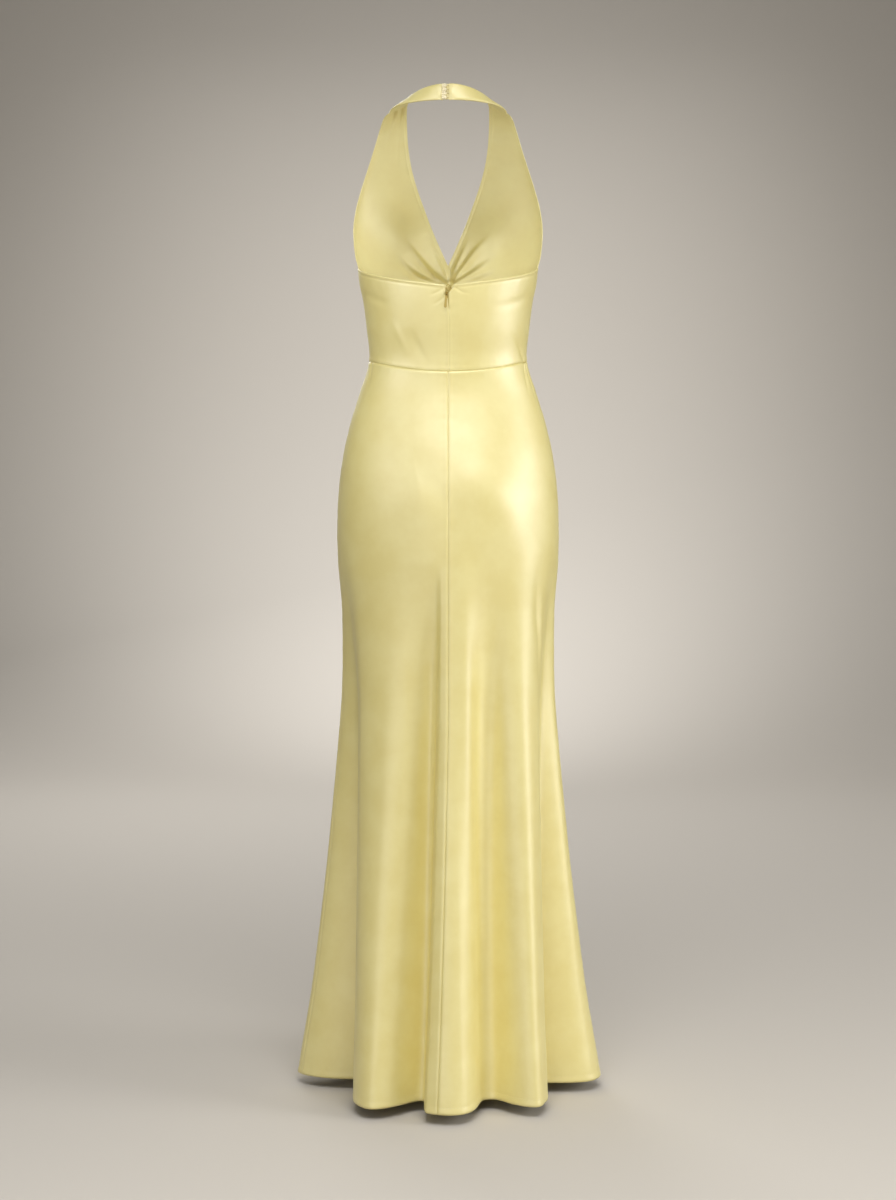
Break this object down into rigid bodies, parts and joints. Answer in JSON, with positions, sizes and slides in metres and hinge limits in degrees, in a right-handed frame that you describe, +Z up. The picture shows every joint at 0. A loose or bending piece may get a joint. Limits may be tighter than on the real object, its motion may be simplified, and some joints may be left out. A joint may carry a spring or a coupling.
{
  "type": "halter dress",
  "caption": "Floor-length satin halter dress with a plunging gathered front, open back, fitted hips, back zip and fluted skirt, hollow as worn.",
  "frame": {"origin": "inner face of the neck band at the centre of the nape, where the worn dress hangs from the neck", "axes": "+Z up along the dress, +Y towards the wearer's front so the open back faces -Y, +X towards the wearer's right"},
  "size_m": [0.4666, 0.4055, 1.5135],
  "materials": {
    "satin": "pale lemon satin with a soft sheen",
    "loop_cord": "cream covered cord",
    "hook_metal": "dull gilt wire",
    "zip_tape": "woven tape",
    "pull_enamel": "old-gold enamel"
  },
  "bodies": {
    "dress": {"skirt_back_left": "satin", "skirt_back_right": "satin", "skirt_front": "satin", "back_bodice_left": "satin", "back_bodice_right": "satin", "front_bodice_left": "satin", "front_bodice_right": "satin", "neck_band_left": "satin", "neck_band_right": "satin", "neck_underlap": "satin", "neck_loop_1": "loop_cord", "neck_loop_2": "loop_cord", "neck_loop_3": "loop_cord", "neck_loop_4": "loop_cord", "neck_hook_1": "hook_metal", "neck_hook_2": "hook_metal", "neck_hook_3": "hook_metal", "neck_hook_4": "hook_metal", "back_eye": "hook_metal", "back_hook": "hook_metal", "zip_slider": "hook_metal", "zip_tape": "zip_tape"},
    "pull_tab": {"zip_pull": "pull_enamel"}
  },
  "joints": [
    {"name": "zip_pull_swing", "type": "hinge", "parent": "dress", "child": "pull_tab", "pos_m": [-0.0022, -0.0289, -0.3], "axis": [-0.9954, 0, 0.0958], "range_deg": [-2, 150]}
  ]
}
